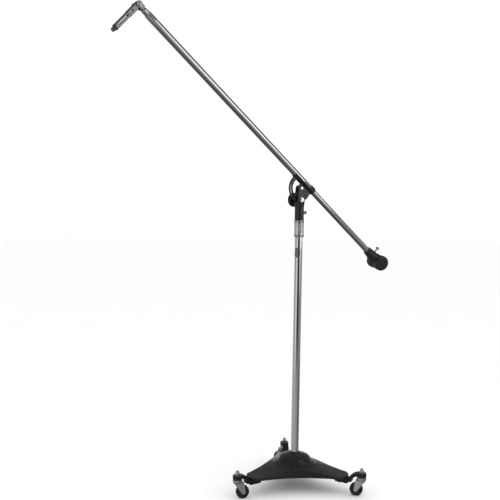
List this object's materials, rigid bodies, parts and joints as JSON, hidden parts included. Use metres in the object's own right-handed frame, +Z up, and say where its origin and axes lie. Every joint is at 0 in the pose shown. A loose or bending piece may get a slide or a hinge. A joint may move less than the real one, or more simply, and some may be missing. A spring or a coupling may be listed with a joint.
{
  "type": "boom microphone stand",
  "caption": "Studio boom microphone stand: cast base on swivel casters, telescoping mast, tilting boom with a sliding counterweight, and a short hinged arm with a microphone thread.",
  "frame": {"origin": "on the floor, under the axis of the mast", "axes": "+Z up along the mast; the boom lies in the XZ plane, with its microphone end toward -X and its counterweight toward +X; +Y toward the clamp knob"},
  "size_m": [1.3278, 0.542, 1.8325],
  "materials": {
    "base_black": "black semi-gloss paint over a cast surface",
    "bracket_black": "black semi-gloss paint",
    "bolt_black": "black oxide",
    "zinc": "bright zinc plate",
    "chrome": "polished chrome plate",
    "tip_metal": "satin nickel plate",
    "badge_foil": "satin foil",
    "nylon": "natural nylon",
    "head_black": "black semi-gloss paint",
    "knob_black": "black moulded plastic",
    "knob_brass": "turned",
    "weight_black": "black paint over a cast surface",
    "wheel_black": "black moulded plastic",
    "tyre_black": "black rubber"
  },
  "bodies": {
    "root": {"base_casting": "base_black", "bracket_bolts": "bolt_black", "mast_nut": "zinc", "lower_tube": "chrome", "tube_badge": "badge_foil", "clutch_body": "zinc", "clutch_collet": "nylon", "front_bracket": "bracket_black", "left_bracket": "bracket_black", "right_bracket": "bracket_black", "front_acorn_nut": "chrome", "left_acorn_nut": "chrome", "right_acorn_nut": "chrome", "front_caster_stem": "zinc", "left_caster_stem": "zinc", "right_caster_stem": "zinc", "swivel_balls": "zinc"},
    "front_swivel": {"front_fork": "zinc", "front_axle": "zinc"},
    "front_wheel": {"front_wheel_hub": "wheel_black", "front_tyre": "tyre_black"},
    "left_swivel": {"left_fork": "zinc", "left_axle": "zinc"},
    "left_wheel": {"left_wheel_hub": "wheel_black", "left_tyre": "tyre_black"},
    "right_swivel": {"right_fork": "zinc", "right_axle": "zinc"},
    "right_wheel": {"right_wheel_hub": "wheel_black", "right_tyre": "tyre_black"},
    "clutch_grip": {"clutch_collar": "chrome"},
    "upper_mast": {"upper_tube": "chrome", "piston_bush": "nylon"},
    "head": {"head_yoke": "head_black", "pivot_pin": "zinc", "clamp_bolt": "chrome", "clamp_washers": "chrome"},
    "head_screw": {"head_screw": "chrome"},
    "knob": {"clamp_knob": "knob_black", "knob_insert": "knob_brass"},
    "boom": {"saddle_quadrant": "head_black", "saddle_screws": "bolt_black", "front_tube": "chrome", "boom_collet": "nylon", "tip_socket": "chrome"},
    "lock_ring": {"boom_lock_ring": "knob_black"},
    "rear_boom": {"rear_tube": "chrome", "rear_tube_guide": "nylon", "rear_tube_plug": "knob_black"},
    "counterweight": {"counterweight": "weight_black"},
    "weight_screw": {"counterweight_screw": "chrome"},
    "tip_swivel": {"tip_swivel": "tip_metal", "knuckle_bolt": "tip_metal"},
    "thumb_nut": {"knuckle_thumb_nut": "chrome"},
    "mini_boom": {"mini_arm": "tip_metal", "mini_arm_collar": "tip_metal", "mic_stud": "tip_metal"}
  },
  "joints": [
    {"name": "front_swivel_turn", "type": "hinge", "parent": "root", "child": "front_swivel", "pos_m": [-0.285, 0, 0.06], "axis": [0, 0, 1], "continuous": true},
    {"name": "front_wheel_roll", "type": "hinge", "parent": "front_swivel", "child": "front_wheel", "pos_m": [-0.26503, -0.00649, 0.026], "axis": [0.309, 0.9511, 0], "continuous": true},
    {"name": "left_swivel_turn", "type": "hinge", "parent": "root", "child": "left_swivel", "pos_m": [0.1425, -0.24682, 0.06], "axis": [0, 0, 1], "continuous": true},
    {"name": "left_wheel_roll", "type": "hinge", "parent": "left_swivel", "child": "left_wheel", "pos_m": [0.13045, -0.22962, 0.026], "axis": [-0.8192, -0.5736, 0], "continuous": true},
    {"name": "right_swivel_turn", "type": "hinge", "parent": "root", "child": "right_swivel", "pos_m": [0.1425, 0.24682, 0.06], "axis": [0, 0, 1], "continuous": true},
    {"name": "right_wheel_roll", "type": "hinge", "parent": "right_swivel", "child": "right_wheel", "pos_m": [0.12347, 0.25569, 0.026], "axis": [-0.4226, -0.9063, 0], "continuous": true},
    {"name": "clutch_turn", "type": "hinge", "parent": "root", "child": "clutch_grip", "pos_m": [0, 0, 1.05], "axis": [0, 0, 1], "range_deg": [-120, 120]},
    {"name": "mast_slide", "type": "slide", "parent": "root", "child": "upper_mast", "axis": [0, 0, 1], "range_m": [0, 0.61]},
    {"name": "head_turn", "type": "hinge", "parent": "upper_mast", "child": "head", "pos_m": [0, 0, 1.12], "axis": [0, 0, 1], "continuous": true},
    {"name": "head_screw_turn", "type": "hinge", "parent": "head", "child": "head_screw", "pos_m": [0.03, 0, 1.119], "axis": [1, 0, 0], "continuous": true},
    {"name": "knob_turn", "type": "hinge", "parent": "head", "child": "knob", "pos_m": [0, 0.03, 1.1705], "axis": [0, 1, 0], "continuous": true},
    {"name": "boom_tilt", "type": "hinge", "parent": "head", "child": "boom", "pos_m": [0, 0, 1.2175], "axis": [0, 1, 0], "range_deg": [-97, 22]},
    {"name": "lock_ring_turn", "type": "hinge", "parent": "boom", "child": "lock_ring", "pos_m": [0.06392, 0, 1.20891], "axis": [0.7944, 0, -0.6074], "range_deg": [-120, 120]},
    {"name": "boom_slide", "type": "slide", "parent": "boom", "child": "rear_boom", "axis": [0.7944, 0, -0.6074], "range_m": [-0.15, 0.15]},
    {"name": "weight_slide", "type": "slide", "parent": "rear_boom", "child": "counterweight", "axis": [0.7944, 0, -0.6074], "range_m": [-0.2, 0]},
    {"name": "weight_screw_turn", "type": "hinge", "parent": "counterweight", "child": "weight_screw", "pos_m": [0.41664, 0, 0.93923], "axis": [0.5867, -0.2588, 0.7673], "continuous": true},
    {"name": "tip_turn", "type": "hinge", "parent": "boom", "child": "tip_swivel", "pos_m": [-0.71937, 0, 1.80778], "axis": [0.7944, 0, -0.6074], "continuous": true},
    {"name": "thumb_nut_turn", "type": "hinge", "parent": "tip_swivel", "child": "thumb_nut", "pos_m": [-0.73605, 0.024, 1.82054], "axis": [0, 1, 0], "continuous": true},
    {"name": "mini_boom_tilt", "type": "hinge", "parent": "tip_swivel", "child": "mini_boom", "pos_m": [-0.73605, 0, 1.82054], "axis": [0, 1, 0], "range_deg": [-15, 185]}
  ]
}
